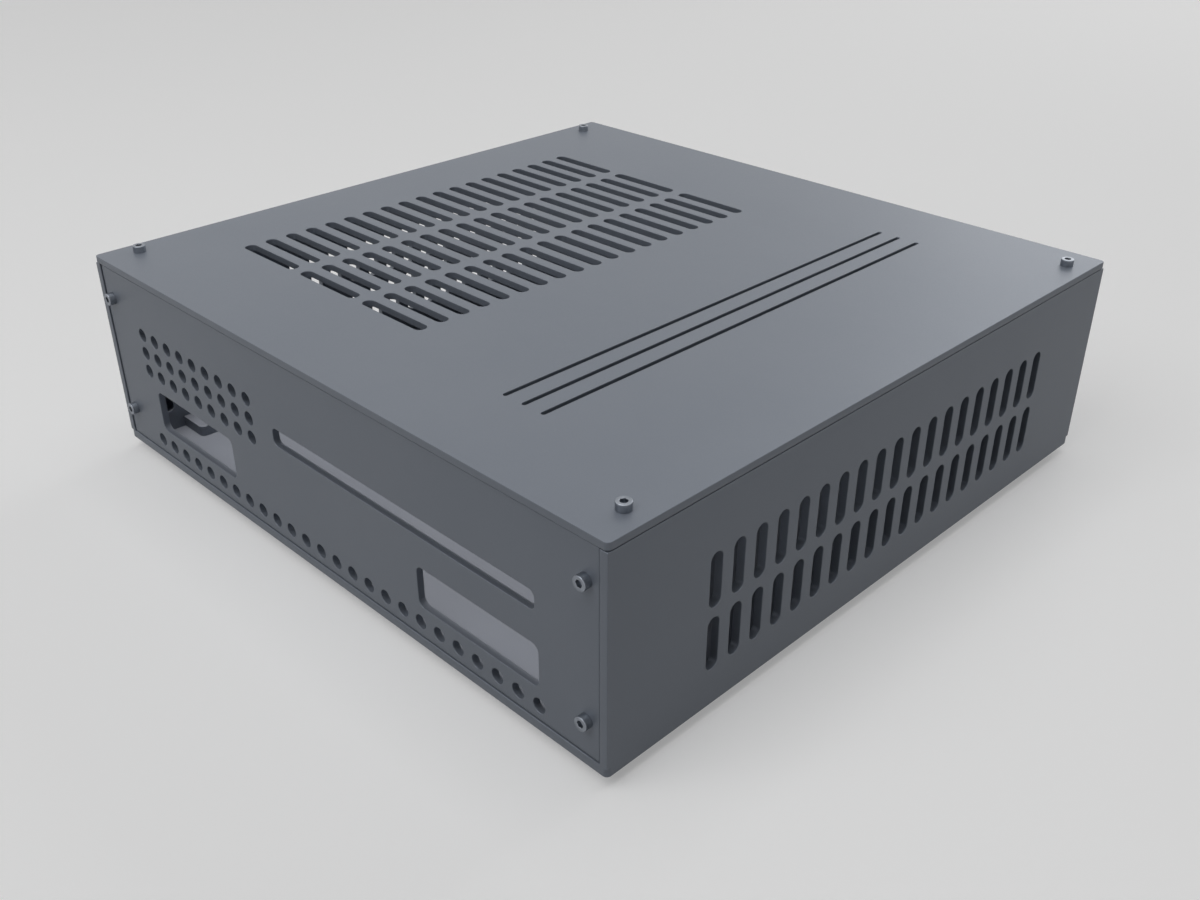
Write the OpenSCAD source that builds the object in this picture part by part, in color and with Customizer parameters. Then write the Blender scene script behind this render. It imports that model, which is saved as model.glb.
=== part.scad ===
// Compact server case. A one-piece tray carries the floor, both side walls and four
// corner posts. A front and a rear panel stand between the walls, and a slotted lid
// lies on top. Cap screws hold the panels and the lid to nuts in the posts.
// Lengths are in millimetres. X runs across the case, Y from front to rear, Z up.
// The origin lies under the middle of the case, on the surface that it stands on.

/* [Case] */
// Width over the side walls
case_w = 320; // [300:1:400]
// Depth of the tray and of the lid
case_d = 310; // [300:1:400]
// Height of the tray, from its underside to the top of its walls
tray_h = 88.4; // [86:0.1:120]
// Corner radius of the floor and of the lid, seen from above
plate_r = 2; // [1:0.5:4]

/* [Thicknesses] */
// Thickness of the floor
floor_t = 4; // [3:0.5:6]
// Thickness of each side wall
wall_t = 3.5; // [2.5:0.5:5]
// Thickness of the lid
lid_t = 3; // [2:0.5:4]
// Thickness of the front and of the rear panel
panel_t = 3; // [2:0.5:4]
// How far each panel's outer face lies behind the tray's edge
panel_set = 0.5; // [0.2:0.1:2]
// Gap between a panel and the walls, and between a panel and the lid
panel_gap = 0.2; // [0.1:0.05:0.5]

/* [Corner posts] */
// Width of a post, from the wall inwards
post_w = 12.5; // [11:0.5:16]
// Depth of a post, from the back of the panel inwards
post_d = 26.2; // [22:0.1:32]
// Thickness of the web that each nut is drawn up against
web_t = 3.4; // [2.5:0.1:4]
// How far a nut's window goes into the post
window_reach = 9.6; // [9.4:0.1:10.5]
// Width of every window across the screw
window_w = 9.4; // [7:0.1:11]
// Length of a panel nut's window along the screw
window_l = 8.6; // [5:0.1:9]
// Height of a lid nut's window
lid_window_h = 5; // [4:0.1:5.2]
// Radius inside the corners of a window
window_r = 2; // [0.5:0.1:2]

/* [Foot pads] */
// Width of the raised pad over each foot
pad_w = 16.4; // [10:0.1:18]
// Length of the pad along the wall
pad_l = 16.4; // [10:0.1:18]
// Height of the pad above the floor
pad_h = 5; // [4:0.5:8]
// Radius of the pad's free corners
pad_r = 2.5; // [1:0.5:4]
// Distance from the back of the panel to the pad
pad_set = 16.1; // [5:0.1:40]

/* [Feet] */
// Diameter of a foot where it meets the floor plate
foot_d = 16; // [12:1:18]
// Diameter of a foot where it stands
foot_tip_d = 14; // [11:1:16]
// Height of a foot
foot_h = 5; // [4.5:0.5:8]
// Width of the chamfer round the foot's lower edge
foot_edge = 0.6; // [0.2:0.1:1]
// Diameter of the recess for the screw's head
recess_d = 7; // [6.4:0.1:8]
// Depth of that recess
recess_h = 3; // [2:0.1:3.5]

/* [Screws and nuts] */
// Diameter of every screw
screw_d = 3; // [2.8:0.1:3.2]
// Length of the lid and panel screws under the head
screw_l = 10; // [9:0.5:11]
// Length of the screws in the feet under the head
foot_screw_l = 10; // [7:0.5:10.5]
// Diameter of a clearance hole for a screw
clear_d = 3.4; // [3.3:0.1:3.8]
// Play between a screw's thread and the hole that it turns in, on the diameter
thread_play = 0.1; // [0.05:0.05:0.15]
// Diameter of a cap screw's head
head_d = 5.5; // [5:0.1:6]
// Height of a cap screw's head
head_h = 3; // [2.5:0.1:4]
// Chamfer at the top of the head
head_edge = 0.35; // [0.1:0.05:0.5]
// Width across the flats of the head's socket
socket_af = 2.5; // [2:0.1:3]
// Depth of the socket
socket_h = 1.5; // [1:0.1:2]
// Diameter of the domed heads in the feet
dome_d = 5.7; // [5:0.1:6]
// Height of the domed heads
dome_h = 1.65; // [1.2:0.05:1.9]
// Width across the flats of a nut
nut_af = 5.5; // [5:0.1:6]
// Thickness of a nut
nut_t = 2.4; // [2:0.1:2.6]
// Height between the two screws at each end of a panel
screw_span = 55; // [40:0.5:55]

/* [Round vents] */
// Diameter of the round vents in both panels
vent_d = 6; // [4:0.5:7]
// Pitch of the round vents across the case
vent_pitch_x = 10.64; // [9:0.01:11]
// Pitch of the round vents upwards
vent_pitch_z = 8.75; // [8:0.05:9]
// Number of round vents in a full row
row_n = 25; // [5:2:25]
// Height of the front panel's bottom row above the tray's underside
row_z = 10.4; // [9:0.1:12]
// Columns in the front panel's upper block, from the left end of the row
block_cols = 9; // [1:1:9]
// Rows in the upper block
block_rows = 3; // [1:1:3]
// Height of the upper block's middle
block_z = 54; // [50:0.1:60]
// Rows of round vents in the rear panel
rear_rows = 3; // [1:1:3]
// Height of the middle of the rear vents
rear_z = 69; // [68:0.1:72]

/* [Front cut-outs] */
// Middle of the left cut-out, across the case
left_x = -92.4; // [-100:0.1:-80]
// Middle of the left cut-out, upwards
left_z = 26.95; // [26:0.05:30]
// Width of the left cut-out
left_w = 62.4; // [40:0.1:70]
// Height of the left cut-out
left_h = 19.3; // [10:0.1:21]
// Middle of the right cut-out, across the case
right_x = 95.85; // [80:0.05:98]
// Middle of the right cut-out, upwards
right_z = 26.85; // [26:0.05:30]
// Width of the right cut-out
right_w = 64.1; // [40:0.1:70]
// Height of the right cut-out
right_h = 17.7; // [10:0.1:21]
// Corner radius of both cut-outs
cutout_r = 3; // [1:0.5:4]
// Middle of the long slot, across the case
slot_x = 50.85; // [40:0.05:58]
// Middle of the long slot, upwards
slot_z = 53.1; // [48:0.1:60]
// Width of the long slot
slot_w = 151.7; // [100:0.1:160]
// Height of the long slot
slot_h = 7.8; // [6:0.1:12]
// Corner radius of the long slot
slot_r = 2.5; // [1:0.1:2.9]

/* [Lid slots] */
// Length of a lid slot
lid_slot_l = 39; // [20:0.5:41]
// Width of a lid slot
lid_slot_w = 5.5; // [3:0.1:7]
// Columns of slots
lid_cols = 3; // [1:1:3]
// Rows of slots
lid_rows = 19; // [1:1:19]
// Pitch of the columns
lid_pitch_x = 44.7; // [42:0.1:46]
// Pitch of the rows
lid_pitch_y = 10.68; // [9:0.01:12]
// Middle of the slots, across the case
lid_field_x = -58.3; // [-65:0.1:-50]
// Middle of the slots, from front to rear
lid_field_y = -4.3; // [-15:0.1:15]
// Length of the narrow strips
strip_l = 231.8; // [100:0.1:240]
// Width of a narrow strip
strip_w = 2; // [1:0.1:4]
// Number of narrow strips
strip_n = 3; // [1:1:3]
// Pitch of the narrow strips
strip_pitch = 9.8; // [6:0.1:12]
// Middle of the narrow strips, across the case
strip_x = 79.4; // [60:0.1:100]
// Middle of the narrow strips, from front to rear
strip_y = 0.5; // [-10:0.1:10]

/* [Side slots] */
// Width of a side slot along the wall
side_slot_w = 6; // [3:0.1:8]
// Height of a side slot
side_slot_h = 22; // [10:0.5:24]
// Slots in a row
side_cols = 19; // [1:1:19]
// Rows of side slots
side_rows = 2; // [1:1:2]
// Pitch of the side slots along the wall
side_pitch_y = 11.63; // [9:0.01:12]
// Pitch of the two rows
side_pitch_z = 26.4; // [25:0.1:28]
// Height of the middle of the side slots
side_z = 40; // [38:0.1:46]

/* [Rear openings] */
// Width of the opening for the board's connectors
io_w = 158.75; // [150:0.05:160]
// Height of the connector opening
io_h = 44.45; // [40:0.05:46]
// Corner radius of the connector opening
io_r = 1; // [0.5:0.5:3]
// How far its middle lies to the right of the board's middle
io_shift = 4; // [0:0.1:6]
// How far its lower edge lies below the top of the board
io_drop = 2.5; // [1:0.1:4]
// Middle of the mains inlet's opening, across the case
inlet_x = 95; // [85:0.5:105]
// Middle of the mains inlet's opening, upwards
inlet_z = 31; // [22:0.5:40]
// Width of the inlet's opening
inlet_w = 27.2; // [26:0.1:28]
// Height of the inlet's opening
inlet_h = 19.8; // [19:0.1:21]
// Cut across the inlet's two lower corners
inlet_cut = 5.6; // [4:0.1:6]
// Distance between the inlet's two screw holes
inlet_span = 40; // [38:0.1:42]

/* [Board] */
// From the left foot pads to the board's left pair of holes
board_set = 4.86; // [4:0.01:8]
// Thickness of the board
board_t = 1.6; // [1:0.1:2]
// Gap between the board's rear edge and the rear panel
board_gap = 1; // [0.5:0.1:3]
// Distance across between the board's holes
board_span = 157.48; // [150:0.01:160]
// From the board's rear edge to its front pair of holes
front_hole = 165.1; // [150:0.1:170]
// From the board's rear edge to the hole beside its connectors
io_hole = 10.16; // [10:0.01:12]
// From the board's rear edge to the hole beside its card slot
card_hole = 33.02; // [31:0.01:34]
// Height of a standoff above the floor
standoff_h = 6.5; // [5:0.5:10]
// Width across the flats of a standoff
standoff_af = 5; // [4.5:0.1:6]
// Length of the stud below a standoff
stud_l = 3.5; // [2:0.1:3.9]
// Diameter of the threaded hole in a standoff
standoff_bore_d = 2.5; // [2.2:0.1:2.7]
// Depth of that hole
standoff_bore_h = 5; // [3:0.1:5.5]

/* [Hidden] */
$fn = 48;
// How far a cutter runs past the face that it cuts
over = 1;
// Half the inside width between the walls
inner_x = case_w / 2 - wall_t;
// The inner face of a panel, and so the outer face of a post
post_y = case_d / 2 - panel_set - panel_t;
// The middle of a post, which is also the line of its screws
post_mid_x = inner_x - post_w / 2;
post_mid_y = post_y - post_d / 2;
// The middle of a panel's height, between the floor and the top of the walls
panel_mid_z = (floor_t + tray_h) / 2;
panel_h = tray_h - floor_t - panel_gap;
// The middle of a foot and of its pad
foot_x = inner_x - post_w - pad_w / 2;
foot_y = post_y - pad_set - pad_l / 2;
// The middle of the board's holes across the case, its rear edge and its top
board_x = board_set + pad_w / 2 - foot_x + board_span / 2;
board_y = post_y - board_gap;
board_z = floor_t + standoff_h + board_t;
// The chamfer at the end of every screw and stud
tip = 0.4;

// A corner is a name, a side from left to right, and an end from front to rear
CORNERS = [["front_left", -1, -1], ["front_right", 1, -1], ["rear_left", -1, 1], ["rear_right", 1, 1]];
// A panel's screw is a name, a side from left to right, and a level from low to high
PANEL_ENDS = [["upper_left", -1, 1], ["upper_right", 1, 1], ["lower_left", -1, -1], ["lower_right", 1, -1]];
// A board hole is a name, a side, and its distance from the board's rear edge
BOARD_HOLES = [
    ["front_left", -1, front_hole], ["front_right", 1, front_hole],
    ["rear_left", -1, card_hole], ["rear_right", 1, io_hole]
];

case_grey = [0.48, 0.50, 0.53];
screw_grey = [0.42, 0.45, 0.49];
zinc = [0.66, 0.68, 0.70];
brass_yellow = [0.78, 0.62, 0.30];
rubber_black = [0.08, 0.08, 0.09];

// Where child number i of n stands when n of them are spaced evenly about zero
function spaced(i, n, pitch) = (i - (n - 1) / 2) * pitch;

// A slot with round ends, its long side along X
module slot_outline(l, w) {
    square([l - w, w], center = true);
    for (s = [-1, 1]) translate([s * (l - w) / 2, 0]) circle(d = w);
}

// A rectangle with round corners
module round_outline(w, h, r) {
    square([w - 2 * r, h], center = true);
    square([w, h - 2 * r], center = true);
    for (x = [-1, 1], y = [-1, 1]) translate([x * (w / 2 - r), y * (h / 2 - r)]) circle(r = r);
}

// Cuts an outline drawn in X and Z right through a panel that is centred on Y
module through_panel() {
    rotate([90, 0, 0]) linear_extrude(panel_t + 2 * over, center = true) children();
}

// A six-sided bar standing on Z
module hex_bar(af, h) {
    cylinder(d = af / cos(30), h = h, $fn = 6);
}

// The tray

module floor_plate() {
    linear_extrude(floor_t) round_outline(case_w, case_d, plate_r);
}

module side_wall(side) {
    translate([side * (inner_x + wall_t / 2), 0, (floor_t + tray_h) / 2])
        cube([wall_t, case_d, tray_h - floor_t], center = true);
}

module corner_post(side, end) {
    translate([side * post_mid_x, end * post_mid_y, (floor_t + tray_h) / 2])
        cube([post_w, post_d, tray_h - floor_t], center = true);
}

// The pad is square where it meets the post and round at its free corners
module foot_pad(side, end) {
    translate([side * foot_x, end * foot_y, 0]) linear_extrude(floor_t + pad_h) {
        round_outline(pad_w, pad_l, pad_r);
        translate([side * pad_w / 4, 0]) square([pad_w / 2, pad_l], center = true);
    }
}

// A window that opens in the post's inner face and takes a panel's nut
module panel_nut_window(side, end, level) {
    translate([
        side * (inner_x - post_w + (window_reach - over) / 2),
        end * (post_y - web_t - window_l / 2),
        panel_mid_z + level * screw_span / 2
    ]) rotate([90, 0, 90]) linear_extrude(window_reach + over, center = true)
        round_outline(window_l, window_w, window_r);
}

// A window that takes a lid's nut
module lid_nut_window(side, end) {
    translate([
        side * (inner_x - post_w + (window_reach - over) / 2),
        end * post_mid_y,
        tray_h - web_t - lid_window_h / 2
    ]) rotate([90, 0, 90]) linear_extrude(window_reach + over, center = true)
        round_outline(window_w, lid_window_h, window_r);
}

module post_bores(side, end) {
    translate([side * post_mid_x, end * post_mid_y, tray_h - web_t - over])
        cylinder(d = clear_d, h = web_t + 2 * over);
    for (level = [-1, 1])
        translate([side * post_mid_x, end * (post_y - web_t / 2), panel_mid_z + level * screw_span / 2])
            rotate([90, 0, 0]) cylinder(d = clear_d, h = web_t + 2 * over, center = true);
}

module side_slots() {
    for (i = [0 : side_cols - 1], j = [0 : side_rows - 1])
        translate([0, spaced(i, side_cols, side_pitch_y), side_z + spaced(j, side_rows, side_pitch_z)])
            rotate([90, 90, 90]) linear_extrude(case_w + 2 * over, center = true)
                slot_outline(side_slot_h, side_slot_w);
}

module base_tray() {
    color(case_grey) translate([0, 0, foot_h]) difference() {
        union() {
            floor_plate();
            for (side = [-1, 1]) side_wall(side);
            for (c = CORNERS) {
                corner_post(c[1], c[2]);
                foot_pad(c[1], c[2]);
            }
        }
        side_slots();
        for (c = CORNERS) {
            post_bores(c[1], c[2]);
            lid_nut_window(c[1], c[2]);
            for (level = [-1, 1]) panel_nut_window(c[1], c[2], level);
            translate([c[1] * foot_x, c[2] * foot_y, -over])
                cylinder(d = screw_d + thread_play, h = floor_t + pad_h + 2 * over);
        }
        for (h = BOARD_HOLES)
            translate([board_x + h[1] * board_span / 2, board_y - h[2], -over])
                cylinder(d = screw_d + thread_play, h = floor_t + 2 * over);
    }
}

// The panels

module panel_plate() {
    translate([0, 0, floor_t + panel_h / 2])
        cube([2 * (inner_x - panel_gap), panel_t, panel_h], center = true);
}

module panel_screw_holes() {
    for (e = PANEL_ENDS)
        translate([e[1] * post_mid_x, panel_mid_z + e[2] * screw_span / 2]) circle(d = clear_d);
}

module vent_row() {
    for (i = [0 : row_n - 1]) translate([spaced(i, row_n, vent_pitch_x), 0]) circle(d = vent_d);
}

module vent_block() {
    for (i = [0 : block_cols - 1], j = [0 : block_rows - 1])
        translate([spaced(i, row_n, vent_pitch_x), spaced(j, block_rows, vent_pitch_z)]) circle(d = vent_d);
}

module front_panel() {
    color(case_grey) translate([0, -(post_y + panel_t / 2), foot_h]) difference() {
        panel_plate();
        through_panel() {
            panel_screw_holes();
            translate([0, row_z]) vent_row();
            translate([0, block_z]) vent_block();
            translate([left_x, left_z]) round_outline(left_w, left_h, cutout_r);
            translate([right_x, right_z]) round_outline(right_w, right_h, cutout_r);
            translate([slot_x, slot_z]) round_outline(slot_w, slot_h, slot_r);
        }
    }
}

// The inlet's opening, with its two lower corners cut across
module inlet_outline() {
    w = inlet_w / 2;
    h = inlet_h / 2;
    polygon([[-w, h], [w, h], [w, inlet_cut - h], [w - inlet_cut, -h], [inlet_cut - w, -h], [-w, inlet_cut - h]]);
    for (s = [-1, 1]) translate([s * inlet_span / 2, 0]) circle(d = clear_d);
}

module rear_panel() {
    color(case_grey) translate([0, post_y + panel_t / 2, foot_h]) difference() {
        panel_plate();
        through_panel() {
            panel_screw_holes();
            for (j = [0 : rear_rows - 1]) translate([0, rear_z + spaced(j, rear_rows, vent_pitch_z)]) vent_row();
            translate([board_x + io_shift, board_z - io_drop + io_h / 2]) round_outline(io_w, io_h, io_r);
            translate([inlet_x, inlet_z]) inlet_outline();
        }
    }
}

// The lid

module lid_slot_field() {
    for (i = [0 : lid_cols - 1], j = [0 : lid_rows - 1])
        translate([lid_field_x + spaced(i, lid_cols, lid_pitch_x), lid_field_y + spaced(j, lid_rows, lid_pitch_y)])
            slot_outline(lid_slot_l, lid_slot_w);
}

module lid_strips() {
    for (i = [0 : strip_n - 1])
        translate([strip_x + spaced(i, strip_n, strip_pitch), strip_y]) rotate(90) slot_outline(strip_l, strip_w);
}

module lid() {
    color(case_grey) translate([0, 0, foot_h + tray_h]) linear_extrude(lid_t) difference() {
        round_outline(case_w, case_d, plate_r);
        lid_slot_field();
        lid_strips();
        for (c = CORNERS) translate([c[1] * post_mid_x, c[2] * post_mid_y]) circle(d = clear_d);
    }
}

// Screws and nuts

// A cap screw with its head standing up from Z zero and its shank below
module cap_screw(l) {
    color(screw_grey) difference() {
        rotate_extrude() polygon([
            [0, head_h], [head_d / 2 - head_edge, head_h], [head_d / 2, head_h - head_edge], [head_d / 2, 0],
            [screw_d / 2, 0], [screw_d / 2, tip - l], [screw_d / 2 - tip, -l], [0, -l]
        ]);
        translate([0, 0, head_h - socket_h]) hex_bar(socket_af, socket_h + over);
    }
}

// A domed screw with its head below Z zero and its shank above
module dome_screw(l) {
    dome_r = (pow(dome_d / 2, 2) + pow(dome_h, 2)) / (2 * dome_h);
    color(screw_grey) difference() {
        union() {
            intersection() {
                translate([0, 0, dome_r - dome_h]) sphere(r = dome_r);
                translate([0, 0, -dome_h]) cylinder(d = dome_d + over, h = dome_h);
            }
            rotate_extrude() polygon([
                [0, -dome_h / 2], [screw_d / 2, -dome_h / 2], [screw_d / 2, l - tip], [screw_d / 2 - tip, l], [0, l]
            ]);
        }
        translate([0, 0, -dome_h - over]) hex_bar(socket_af * 0.8, over + dome_h * 0.6);
    }
}

// A nut standing up from Z zero
module nut() {
    color(zinc) difference() {
        hex_bar(nut_af, nut_t);
        translate([0, 0, -over]) cylinder(d = screw_d + thread_play, h = nut_t + 2 * over);
    }
}

module lid_screw(side, end) {
    translate([side * post_mid_x, end * post_mid_y, foot_h + tray_h + lid_t]) cap_screw(screw_l);
}

module lid_nut(side, end) {
    translate([side * post_mid_x, end * post_mid_y, foot_h + tray_h - web_t - nut_t]) nut();
}

// A panel's screw points inwards from the panel's outer face
module panel_screw(side, end, level) {
    translate([side * post_mid_x, end * (post_y + panel_t), foot_h + panel_mid_z + level * screw_span / 2])
        rotate([-end * 90, 0, 0]) cap_screw(screw_l);
}

module panel_nut(side, end, level) {
    translate([side * post_mid_x, end * (post_y - web_t), foot_h + panel_mid_z + level * screw_span / 2])
        rotate([end * 90, 0, 0]) nut();
}

// Feet and standoffs

module foot(side, end) {
    color(rubber_black) translate([side * foot_x, end * foot_y, 0]) rotate_extrude() polygon([
        [recess_d / 2, 0], [foot_tip_d / 2 - foot_edge, 0], [foot_tip_d / 2, foot_edge], [foot_d / 2, foot_h],
        [clear_d / 2, foot_h], [clear_d / 2, recess_h], [recess_d / 2, recess_h]
    ]);
}

module foot_screw(side, end) {
    translate([side * foot_x, end * foot_y, recess_h]) dome_screw(foot_screw_l);
}

module standoff(side, from_rear) {
    color(brass_yellow) translate([board_x + side * board_span / 2, board_y - from_rear, foot_h + floor_t])
        difference() {
            union() {
                hex_bar(standoff_af, standoff_h);
                rotate_extrude() polygon([
                    [0, over], [screw_d / 2, over], [screw_d / 2, tip - stud_l], [screw_d / 2 - tip, -stud_l], [0, -stud_l]
                ]);
            }
            translate([0, 0, standoff_h - standoff_bore_h])
                cylinder(d = standoff_bore_d, h = standoff_bore_h + over);
        }
}

base_tray();
front_panel();
rear_panel();
lid();
for (c = CORNERS) lid_screw(c[1], c[2]);
for (c = CORNERS) lid_nut(c[1], c[2]);
for (e = PANEL_ENDS) panel_screw(e[1], -1, e[2]);
for (e = PANEL_ENDS) panel_nut(e[1], -1, e[2]);
for (e = PANEL_ENDS) panel_screw(e[1], 1, e[2]);
for (e = PANEL_ENDS) panel_nut(e[1], 1, e[2]);
for (c = CORNERS) foot(c[1], c[2]);
for (c = CORNERS) foot_screw(c[1], c[2]);
for (h = BOARD_HOLES) standoff(h[1], h[2]);
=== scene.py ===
"""A compact server case: a one-piece tray with slotted walls and corner posts, a vented panel
at the front and at the rear, and a slotted lid, all held by cap screws and nuts."""

import math

import bpy
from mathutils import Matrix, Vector


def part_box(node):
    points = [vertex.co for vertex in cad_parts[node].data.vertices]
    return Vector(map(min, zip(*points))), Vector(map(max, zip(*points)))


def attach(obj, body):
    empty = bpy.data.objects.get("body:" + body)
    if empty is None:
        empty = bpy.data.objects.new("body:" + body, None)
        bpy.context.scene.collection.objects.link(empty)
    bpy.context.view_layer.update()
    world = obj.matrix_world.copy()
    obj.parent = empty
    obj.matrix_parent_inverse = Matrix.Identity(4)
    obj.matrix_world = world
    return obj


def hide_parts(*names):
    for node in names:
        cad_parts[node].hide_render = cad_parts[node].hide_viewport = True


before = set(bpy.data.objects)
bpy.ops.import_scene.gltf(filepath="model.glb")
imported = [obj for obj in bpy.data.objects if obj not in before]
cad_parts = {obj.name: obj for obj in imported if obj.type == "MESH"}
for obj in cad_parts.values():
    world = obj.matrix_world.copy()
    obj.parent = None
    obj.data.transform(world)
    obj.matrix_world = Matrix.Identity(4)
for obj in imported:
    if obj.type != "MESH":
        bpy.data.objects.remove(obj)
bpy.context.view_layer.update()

MM = 0.001
X, Y, Z = 0, 1, 2
BODY = "root"

OVER = 1 * MM  # how far a cutter runs past the face that it cuts
PAST = 0.1 * MM  # the same for small cones, and how far a thread's sleeve stands off the ridge
SINK = MM / 2000  # how far joined blocks run into each other, which the merging then takes away
CLOSE = MM / 1000  # points nearer to each other than this are merged
NEAR = MM / 100  # how far off a level a point may be that counts as lying on it
ALONG = 0.99  # an edge follows an axis if it has this share of its length along it
FINE_SIDES = 48  # the sides of the round forms that show on small parts

# The tray
FLOOR_T = 4 * MM
WALL_T = 3.5 * MM
PLATE_R = 2 * MM
POST_W = 12.5 * MM
POST_D = 26.2 * MM
WEB_T = 3.4 * MM
WINDOW_REACH = 9.6 * MM
WINDOW_W = 9.4 * MM
WINDOW_L = 8.6 * MM
LID_WINDOW_H = 5 * MM
WINDOW_R = 2 * MM
PAD = 16.4 * MM
PAD_H = 5 * MM
PAD_R = 2.5 * MM

# Screws, nuts and holes
SCREW_D = 3 * MM
SCREW_L = 10 * MM
HOLE_D = 3.1 * MM
CLEAR_D = 3.4 * MM
HEAD_H = 3 * MM
HEAD_D = 5.5 * MM
HEAD_EDGE = 0.35 * MM
DOME_D = 5.7 * MM
DOME_H = 1.65 * MM
NUT_AF = 5.5 * MM
NUT_T = 2.4 * MM
NUT_RIM = 0.25 * MM
CORNER_SHARE = 0.95  # the round flat at the ends of a six-sided piece, as a share of its width

# Hexagon sockets: the width across flats and the depth, the depth and the radius of the drilled
# point below, and the radius and the depth of the countersink at the mouth
CAP_SOCKET = (2.5 * MM, 1.5 * MM, 0.7 * MM, 1.2 * MM, 1.5 * MM, 0.35 * MM)
DOME_SOCKET = (2 * MM, 1 * MM, 0.45 * MM, 0.95 * MM, 1.35 * MM, 0.4 * MM)

# Threads: the core, the ridge that winds up it, the bevel at the tip and the end inside the head
THREAD_PITCH = 0.5 * MM
THREAD_SIDES = 18
CORE_D = 2.46 * MM
RIDGE_W = 0.45 * MM
RIDGE_H = 0.47 * MM
CREST_SHARE = 0.13  # the height of the ridge's crest, as a share of its root's
TIP_EDGE = 0.5 * MM
ROOT = 0.3 * MM

# Feet and standoffs
FOOT_D = 16 * MM
FOOT_TIP_D = 13.73 * MM
FOOT_H = 5 * MM
FOOT_EDGE = 0.6 * MM
RECESS_D = 7 * MM
RECESS_H = 3 * MM
RECESS_EDGE = 0.3 * MM
STANDOFF_AF = 5 * MM
STANDOFF_H = 6.5 * MM
STUD_L = 3.5 * MM
STANDOFF_BORE_H = 5 * MM
STANDOFF_MOUTH = (1.6 * MM, 0.5 * MM)  # the radius and the depth of its countersink

# Slots and vents: the size, the pitch and the number of each pattern, and where its middle is
LID_SLOT = (39 * MM, 5.5 * MM)
LID_PITCH = (44.7 * MM, 10.68 * MM)
LID_COUNT = (3, 19)
LID_FIELD = (-58.3 * MM, -4.3 * MM)
STRIP = (2 * MM, 231.8 * MM)
STRIP_PITCH = 9.8 * MM
STRIP_COUNT = 3
STRIP_FIELD = (79.4 * MM, 0.5 * MM)
SIDE_SLOT = (6 * MM, 22 * MM)
SIDE_PITCH = (11.63 * MM, 26.4 * MM)
SIDE_COUNT = (19, 2)
SIDE_MID = 45 * MM
VENT_D = 6 * MM
VENT_PITCH = (10.64 * MM, 8.75 * MM)
VENT_ROW = 25
VENT_ROW_Z = 15.4 * MM
BLOCK_COUNT = (9, 3)
BLOCK_Z = 59 * MM
REAR_VENT_ROWS = 3
REAR_VENT_Z = 74 * MM

# Openings in the panels: the middle across and upwards, the width, the height and the corner
# radius, which is the size of the cut-off corners at the inlet
LEFT_CUTOUT = (-92.4 * MM, 31.95 * MM, 62.4 * MM, 19.3 * MM, 3 * MM)
RIGHT_CUTOUT = (95.85 * MM, 31.85 * MM, 64.1 * MM, 17.7 * MM, 3 * MM)
LONG_SLOT = (50.85 * MM, 58.1 * MM, 151.7 * MM, 7.8 * MM, 2.5 * MM)
CONNECTORS = (-40 * MM, 36.825 * MM, 158.75 * MM, 44.45 * MM, 1 * MM)
INLET = (95 * MM, 36 * MM, 27.2 * MM, 19.8 * MM, 5.6 * MM)
INLET_SPAN = 40 * MM

# Softened edges, as blasting and anodising leave them
PLATE_EDGE = 0.25 * MM
FINE_EDGE = 0.12 * MM
SEAM = 0.3 * MM  # the play round a panel and over the side walls, which shows as a dark seam

# The names of the four corners of the case, and of the four screws of a panel
CORNERS = ("front_left", "front_right", "rear_left", "rear_right")
PANEL_ENDS = ("upper_left", "upper_right", "lower_left", "lower_right")


# Selecting and shaping

def only(obj):
    """Selects this object alone and makes it the active one."""
    bpy.ops.object.select_all(action="DESELECT")
    obj.select_set(True)
    bpy.context.view_layer.objects.active = obj


def settle(obj):
    """Writes the object's place, turn and size into its mesh."""
    only(obj)
    bpy.ops.object.transform_apply(location=True, rotation=True, scale=True)
    return obj


def block(low, high, name="block"):
    """A block between two corners."""
    low, high = Vector(low), Vector(high)
    bpy.ops.object.select_all(action="DESELECT")
    bpy.ops.mesh.primitive_cube_add(size=1, location=(low + high) / 2, scale=high - low)
    obj = bpy.context.object
    obj.name = name
    return settle(obj)


def rod(radius, low, high, axis=Z, sides=32, name="rod", tip_radius=None):
    """A rod between two levels of its axis, standing on the middle of the other two axes. With
    a radius of its own at the upper level it is a cone."""
    turn = {X: (0, math.pi / 2, 0), Y: (-math.pi / 2, 0, 0), Z: (0, 0, 0)}[axis]
    place = [0, 0, 0]
    place[axis] = (low + high) / 2
    bpy.ops.object.select_all(action="DESELECT")
    bpy.ops.mesh.primitive_cone_add(
        vertices=sides, radius1=radius, radius2=radius if tip_radius is None else tip_radius,
        depth=high - low, location=place, rotation=turn)
    obj = bpy.context.object
    obj.name = name
    return settle(obj)


def move(obj, x=0, y=0, z=0):
    """Moves an object's mesh."""
    obj.location = (x, y, z)
    return settle(obj)


def pick_none(obj, kind):
    """Deselects everything on a mesh and says whether points or edges are picked next."""
    only(obj)
    bpy.ops.object.mode_set(mode="EDIT")
    bpy.ops.mesh.select_mode(type=kind)
    bpy.ops.mesh.select_all(action="DESELECT")
    bpy.ops.object.mode_set(mode="OBJECT")


def pick_edges(obj, test):
    """Selects the edges whose two ends pass a test, and leaves the object in edit mode."""
    pick_none(obj, "EDGE")
    points = obj.data.vertices
    for edge in obj.data.edges:
        edge.select = test(*(points[i].co for i in edge.vertices))
    bpy.ops.object.mode_set(mode="EDIT")


def pick_points(obj, test):
    """Selects the points that pass a test, and leaves the object in edit mode."""
    pick_none(obj, "VERT")
    for point in obj.data.vertices:
        point.select = test(point.co)
    bpy.ops.object.mode_set(mode="EDIT")


def leave_edit(obj):
    """Merges what a full round brought together and leaves edit mode."""
    bpy.ops.mesh.select_all(action="SELECT")
    bpy.ops.mesh.remove_doubles(threshold=CLOSE)
    bpy.ops.object.mode_set(mode="OBJECT")
    return obj


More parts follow.
